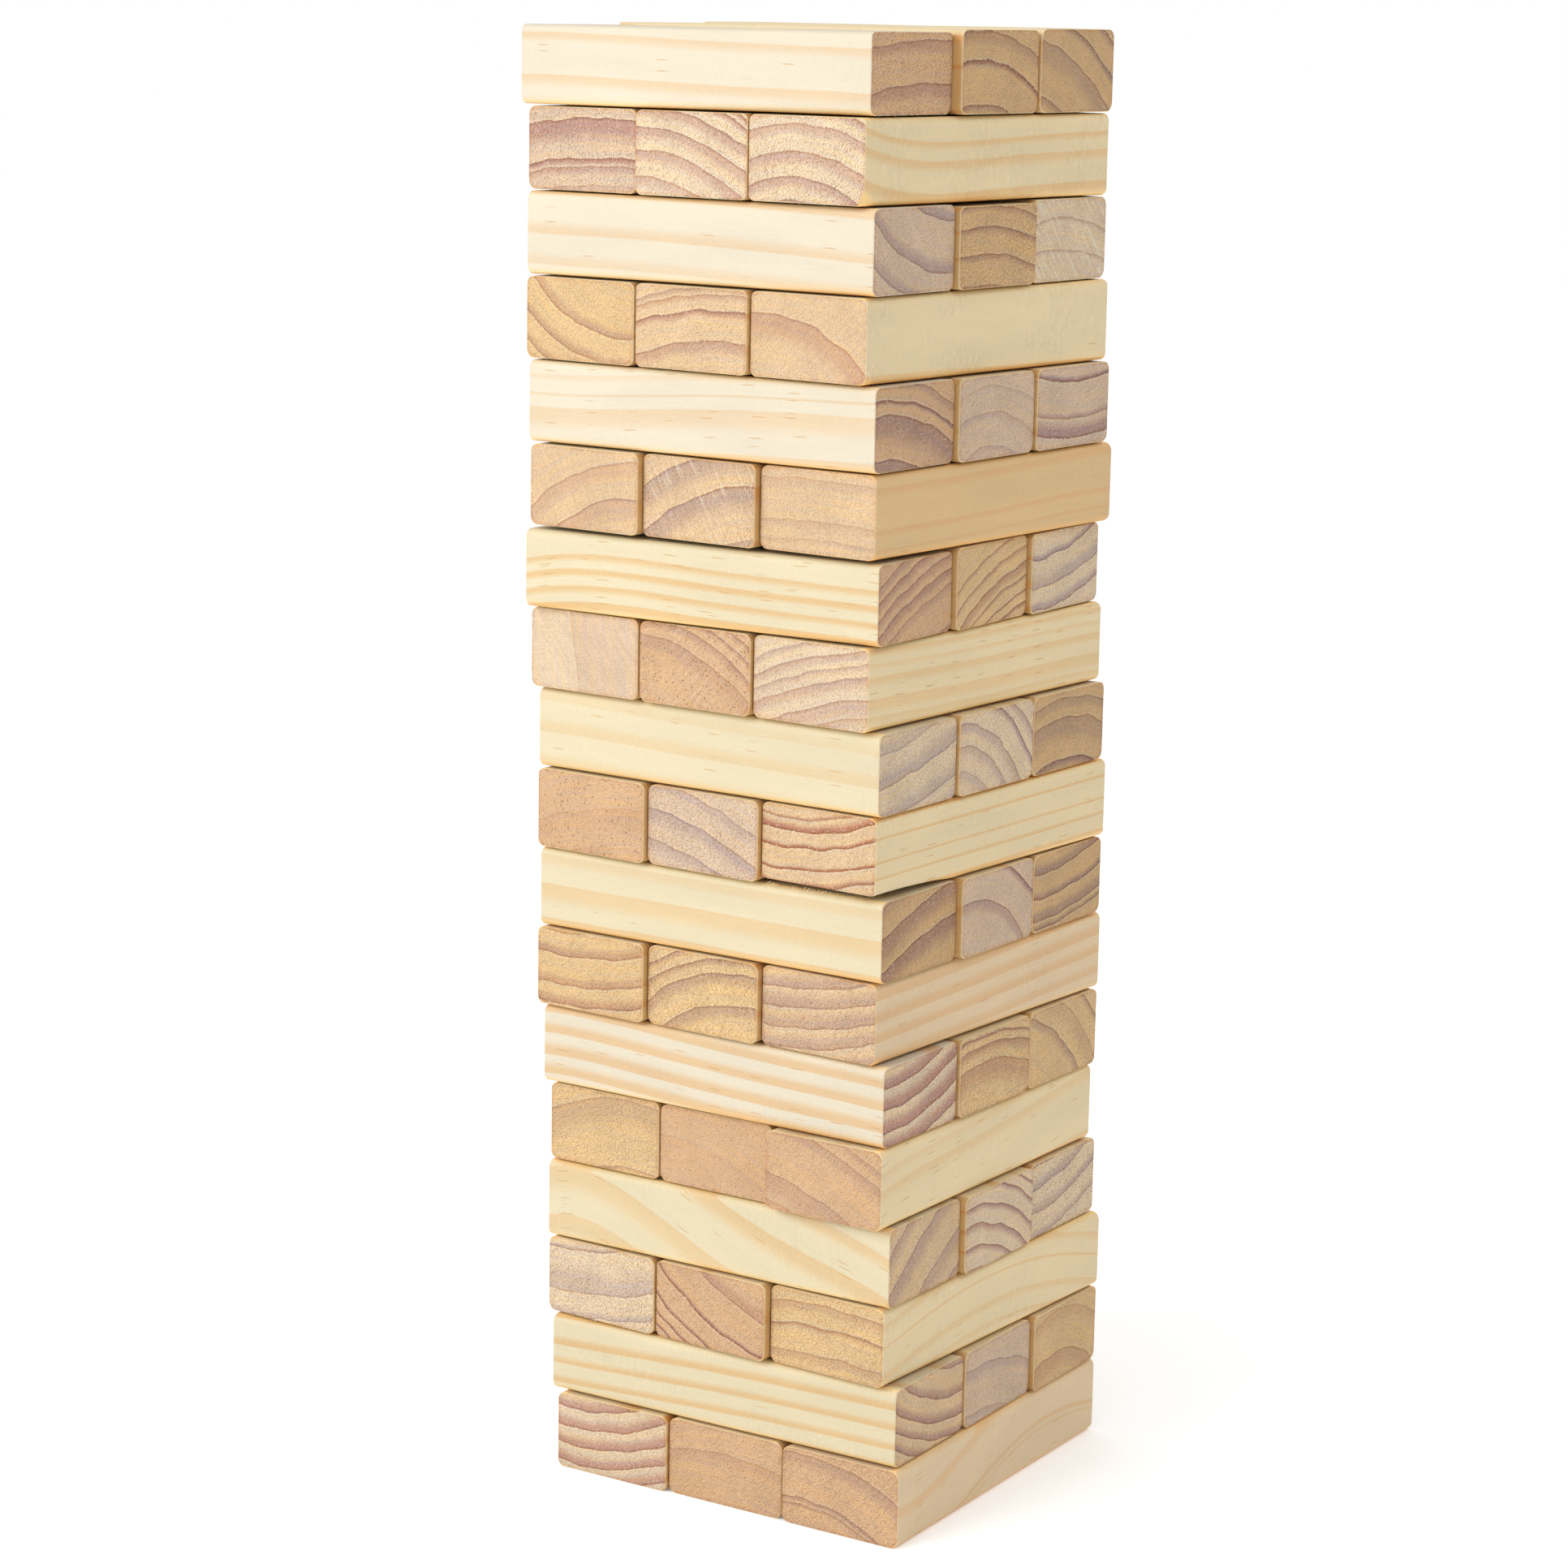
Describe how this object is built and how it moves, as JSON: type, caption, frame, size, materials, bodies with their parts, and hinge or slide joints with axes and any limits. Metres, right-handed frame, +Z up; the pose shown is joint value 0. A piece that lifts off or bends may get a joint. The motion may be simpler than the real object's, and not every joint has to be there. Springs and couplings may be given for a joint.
{
  "type": "giant tumbling tower",
  "caption": "Tall stacking game of loose pine blocks laid crosswise in level after level, each block sliding out along its own length.",
  "frame": {"origin": "centre of the tower's box, on the surface that it stands on", "axes": "+Z up the tower; -Y is the front, where the odd levels show their sawn ends; +X is the right, where the even levels show theirs"},
  "size_m": [0.208, 0.2156, 0.6855],
  "materials": {
    "pine_pale": "bare planed pine, pale sapwood with faint bands, matt",
    "pine_cream": "bare planed pine, cream with soft honey grain, matt",
    "pine_honey": "bare planed pine, honey bands and resin flecks, matt",
    "pine_tan": "bare planed pine, pinkish tan, matt"
  },
  "bodies": {
    "block_01_right": {"block_01_right": "pine_cream"},
    "block_01_middle": {"block_01_middle": "pine_honey"},
    "block_01_left": {"block_01_left": "pine_tan"},
    "block_02_front": {"block_02_front": "pine_cream"},
    "block_02_middle": {"block_02_middle": "pine_pale"},
    "block_02_back": {"block_02_back": "pine_honey"},
    "block_03_right": {"block_03_right": "pine_pale"},
    "block_03_middle": {"block_03_middle": "pine_tan"},
    "block_03_left": {"block_03_left": "pine_cream"},
    "block_04_front": {"block_04_front": "pine_pale"},
    "block_04_middle": {"block_04_middle": "pine_cream"},
    "block_04_back": {"block_04_back": "pine_cream"},
    "block_05_right": {"block_05_right": "pine_pale"},
    "block_05_middle": {"block_05_middle": "pine_tan"},
    "block_05_left": {"block_05_left": "pine_honey"},
    "block_06_front": {"block_06_front": "pine_honey"},
    "block_06_middle": {"block_06_middle": "pine_cream"},
    "block_06_back": {"block_06_back": "pine_pale"},
    "block_07_right": {"block_07_right": "pine_honey"},
    "block_07_middle": {"block_07_middle": "pine_cream"},
    "block_07_left": {"block_07_left": "pine_tan"},
    "block_08_front": {"block_08_front": "pine_cream"},
    "block_08_middle": {"block_08_middle": "pine_pale"},
    "block_08_back": {"block_08_back": "pine_cream"},
    "block_09_right": {"block_09_right": "pine_cream"},
    "block_09_middle": {"block_09_middle": "pine_pale"},
    "block_09_left": {"block_09_left": "pine_honey"},
    "block_10_front": {"block_10_front": "pine_cream"},
    "block_10_middle": {"block_10_middle": "pine_pale"},
    "block_10_back": {"block_10_back": "pine_cream"},
    "block_11_right": {"block_11_right": "pine_cream"},
    "block_11_middle": {"block_11_middle": "pine_honey"},
    "block_11_left": {"block_11_left": "pine_cream"},
    "block_12_front": {"block_12_front": "pine_honey"},
    "block_12_middle": {"block_12_middle": "pine_cream"},
    "block_12_back": {"block_12_back": "pine_pale"},
    "block_13_right": {"block_13_right": "pine_honey"},
    "block_13_middle": {"block_13_middle": "pine_cream"},
    "block_13_left": {"block_13_left": "pine_honey"},
    "block_14_front": {"block_14_front": "pine_cream"},
    "block_14_middle": {"block_14_middle": "pine_pale"},
    "block_14_back": {"block_14_back": "pine_tan"},
    "block_15_right": {"block_15_right": "pine_pale"},
    "block_15_middle": {"block_15_middle": "pine_honey"},
    "block_15_left": {"block_15_left": "pine_honey"},
    "block_16_front": {"block_16_front": "pine_pale"},
    "block_16_middle": {"block_16_middle": "pine_cream"},
    "block_16_back": {"block_16_back": "pine_pale"},
    "block_17_right": {"block_17_right": "pine_cream"},
    "block_17_middle": {"block_17_middle": "pine_pale"},
    "block_17_left": {"block_17_left": "pine_tan"},
    "block_18_front": {"block_18_front": "pine_pale"},
    "block_18_middle": {"block_18_middle": "pine_cream"},
    "block_18_back": {"block_18_back": "pine_cream"}
  },
  "joints": [
    {"name": "block_01_right_slide", "type": "slide", "parent": "block_01_middle", "child": "block_01_right", "axis": [-0.048, 0.9988, 0], "range_m": [-0.2, 0.2]},
    {"name": "block_01_left_slide", "type": "slide", "parent": "block_01_middle", "child": "block_01_left", "axis": [-0.048, 0.9988, 0], "range_m": [-0.2, 0.2]},
    {"name": "block_02_front_slide", "type": "slide", "parent": "block_01_middle", "child": "block_02_front", "axis": [0.9986, 0.0523, 0], "range_m": [-0.2, 0.2]},
    {"name": "block_02_middle_slide", "type": "slide", "parent": "block_01_middle", "child": "block_02_middle", "axis": [0.9986, 0.0523, 0], "range_m": [-0.2, 0.2]},
    {"name": "block_02_back_slide", "type": "slide", "parent": "block_01_middle", "child": "block_02_back", "axis": [0.9986, 0.0523, 0], "range_m": [-0.2, 0.2]},
    {"name": "block_03_right_slide", "type": "slide", "parent": "block_01_middle", "child": "block_03_right", "axis": [0.0044, 1, 0], "range_m": [-0.2, 0.2]},
    {"name": "block_03_middle_slide", "type": "slide", "parent": "block_01_middle", "child": "block_03_middle", "axis": [0.0044, 1, 0], "range_m": [-0.2, 0.2]},
    {"name": "block_03_left_slide", "type": "slide", "parent": "block_01_middle", "child": "block_03_left", "axis": [0.0044, 1, 0], "range_m": [-0.2, 0.2]},
    {"name": "block_04_front_slide", "type": "slide", "parent": "block_01_middle", "child": "block_04_front", "axis": [0.9994, 0.0349, 0], "range_m": [-0.2, 0.2]},
    {"name": "block_04_middle_slide", "type": "slide", "parent": "block_01_middle", "child": "block_04_middle", "axis": [0.9994, 0.0349, 0], "range_m": [-0.2, 0.2]},
    {"name": "block_04_back_slide", "type": "slide", "parent": "block_01_middle", "child": "block_04_back", "axis": [0.9994, 0.0349, 0], "range_m": [-0.2, 0.2]},
    {"name": "block_05_right_slide", "type": "slide", "parent": "block_01_middle", "child": "block_05_right", "axis": [-0.0218, 0.9998, 0], "range_m": [-0.2, 0.2]},
    {"name": "block_05_middle_slide", "type": "slide", "parent": "block_01_middle", "child": "block_05_middle", "axis": [-0.0218, 0.9998, 0], "range_m": [-0.2, 0.2]},
    {"name": "block_05_left_slide", "type": "slide", "parent": "block_01_middle", "child": "block_05_left", "axis": [-0.0218, 0.9998, 0], "range_m": [-0.2, 0.2]},
    {"name": "block_06_front_slide", "type": "slide", "parent": "block_01_middle", "child": "block_06_front", "axis": [0.9998, 0.0175, 0], "range_m": [-0.2, 0.2]},
    {"name": "block_06_middle_slide", "type": "slide", "parent": "block_01_middle", "child": "block_06_middle", "axis": [0.9998, 0.0175, 0], "range_m": [-0.2, 0.2]},
    {"name": "block_06_back_slide", "type": "slide", "parent": "block_01_middle", "child": "block_06_back", "axis": [0.9998, 0.0175, 0], "range_m": [-0.2, 0.2]},
    {"name": "block_07_right_slide", "type": "slide", "parent": "block_01_middle", "child": "block_07_right", "axis": [0.0175, 0.9998, 0], "range_m": [-0.2, 0.2]},
    {"name": "block_07_middle_slide", "type": "slide", "parent": "block_01_middle", "child": "block_07_middle", "axis": [0.0175, 0.9998, 0], "range_m": [-0.2, 0.2]},
    {"name": "block_07_left_slide", "type": "slide", "parent": "block_01_middle", "child": "block_07_left", "axis": [0.0175, 0.9998, 0], "range_m": [-0.2, 0.2]},
    {"name": "block_08_front_slide", "type": "slide", "parent": "block_01_middle", "child": "block_08_front", "axis": [0.9999, 0.0131, 0], "range_m": [-0.2, 0.2]},
    {"name": "block_08_middle_slide", "type": "slide", "parent": "block_01_middle", "child": "block_08_middle", "axis": [0.9999, 0.0131, 0], "range_m": [-0.2, 0.2]},
    {"name": "block_08_back_slide", "type": "slide", "parent": "block_01_middle", "child": "block_08_back", "axis": [0.9999, 0.0131, 0], "range_m": [-0.2, 0.2]},
    {"name": "block_09_right_slide", "type": "slide", "parent": "block_01_middle", "child": "block_09_right", "axis": [0.0262, 0.9997, 0], "range_m": [-0.2, 0.2]},
    {"name": "block_09_middle_slide", "type": "slide", "parent": "block_01_middle", "child": "block_09_middle", "axis": [0.0262, 0.9997, 0], "range_m": [-0.2, 0.2]},
    {"name": "block_09_left_slide", "type": "slide", "parent": "block_01_middle", "child": "block_09_left", "axis": [0.0262, 0.9997, 0], "range_m": [-0.2, 0.2]},
    {"name": "block_10_front_slide", "type": "slide", "parent": "block_01_middle", "child": "block_10_front", "axis": [1, -0.0044, 0], "range_m": [-0.2, 0.2]},
    {"name": "block_10_middle_slide", "type": "slide", "parent": "block_01_middle", "child": "block_10_middle", "axis": [1, -0.0044, 0], "range_m": [-0.2, 0.2]},
    {"name": "block_10_back_slide", "type": "slide", "parent": "block_01_middle", "child": "block_10_back", "axis": [1, -0.0044, 0], "range_m": [-0.2, 0.2]},
    {"name": "block_11_right_slide", "type": "slide", "parent": "block_01_middle", "child": "block_11_right", "axis": [0.0262, 0.9997, 0], "range_m": [-0.2, 0.2]},
    {"name": "block_11_middle_slide", "type": "slide", "parent": "block_01_middle", "child": "block_11_middle", "axis": [0.0262, 0.9997, 0], "range_m": [-0.2, 0.2]},
    {"name": "block_11_left_slide", "type": "slide", "parent": "block_01_middle", "child": "block_11_left", "axis": [0.0262, 0.9997, 0], "range_m": [-0.2, 0.2]},
    {"name": "block_12_front_slide", "type": "slide", "parent": "block_01_middle", "child": "block_12_front", "axis": [0.9994, 0.0349, 0], "range_m": [-0.2, 0.2]},
    {"name": "block_12_middle_slide", "type": "slide", "parent": "block_01_middle", "child": "block_12_middle", "axis": [0.9994, 0.0349, 0], "range_m": [-0.2, 0.2]},
    {"name": "block_12_back_slide", "type": "slide", "parent": "block_01_middle", "child": "block_12_back", "axis": [0.9994, 0.0349, 0], "range_m": [-0.2, 0.2]},
    {"name": "block_13_right_slide", "type": "slide", "parent": "block_01_middle", "child": "block_13_right", "axis": [0.0305, 0.9995, 0], "range_m": [-0.2, 0.2]},
    {"name": "block_13_middle_slide", "type": "slide", "parent": "block_01_middle", "child": "block_13_middle", "axis": [0.0305, 0.9995, 0], "range_m": [-0.2, 0.2]},
    {"name": "block_13_left_slide", "type": "slide", "parent": "block_01_middle", "child": "block_13_left", "axis": [0.0305, 0.9995, 0], "range_m": [-0.2, 0.2]},
    {"name": "block_14_front_slide", "type": "slide", "parent": "block_01_middle", "child": "block_14_front", "axis": [1, -0.0044, 0], "range_m": [-0.2, 0.2]},
    {"name": "block_14_middle_slide", "type": "slide", "parent": "block_01_middle", "child": "block_14_middle", "axis": [1, -0.0044, 0], "range_m": [-0.2, 0.2]},
    {"name": "block_14_back_slide", "type": "slide", "parent": "block_01_middle", "child": "block_14_back", "axis": [1, -0.0044, 0], "range_m": [-0.2, 0.2]},
    {"name": "block_15_right_slide", "type": "slide", "parent": "block_01_middle", "child": "block_15_right", "axis": [0.0393, 0.9992, 0], "range_m": [-0.2, 0.2]},
    {"name": "block_15_middle_slide", "type": "slide", "parent": "block_01_middle", "child": "block_15_middle", "axis": [0.0393, 0.9992, 0], "range_m": [-0.2, 0.2]},
    {"name": "block_15_left_slide", "type": "slide", "parent": "block_01_middle", "child": "block_15_left", "axis": [0.0393, 0.9992, 0], "range_m": [-0.2, 0.2]},
    {"name": "block_16_front_slide", "type": "slide", "parent": "block_01_middle", "child": "block_16_front", "axis": [0.9999, -0.0131, 0], "range_m": [-0.2, 0.2]},
    {"name": "block_16_middle_slide", "type": "slide", "parent": "block_01_middle", "child": "block_16_middle", "axis": [0.9999, -0.0131, 0], "range_m": [-0.2, 0.2]},
    {"name": "block_16_back_slide", "type": "slide", "parent": "block_01_middle", "child": "block_16_back", "axis": [0.9999, -0.0131, 0], "range_m": [-0.2, 0.2]},
    {"name": "block_17_right_slide", "type": "slide", "parent": "block_01_middle", "child": "block_17_right", "axis": [0.0393, 0.9992, 0], "range_m": [-0.2, 0.2]},
    {"name": "block_17_middle_slide", "type": "slide", "parent": "block_01_middle", "child": "block_17_middle", "axis": [0.0393, 0.9992, 0], "range_m": [-0.2, 0.2]},
    {"name": "block_17_left_slide", "type": "slide", "parent": "block_01_middle", "child": "block_17_left", "axis": [0.0393, 0.9992, 0], "range_m": [-0.2, 0.2]},
    {"name": "block_18_front_lift", "type": "slide", "parent": "block_01_middle", "child": "block_18_front", "axis": [0, 0, 1], "range_m": [0, 0.1]},
    {"name": "block_18_middle_lift", "type": "slide", "parent": "block_01_middle", "child": "block_18_middle", "axis": [0, 0, 1], "range_m": [0, 0.1]},
    {"name": "block_18_back_lift", "type": "slide", "parent": "block_01_middle", "child": "block_18_back", "axis": [0, 0, 1], "range_m": [0, 0.1]}
  ]
}
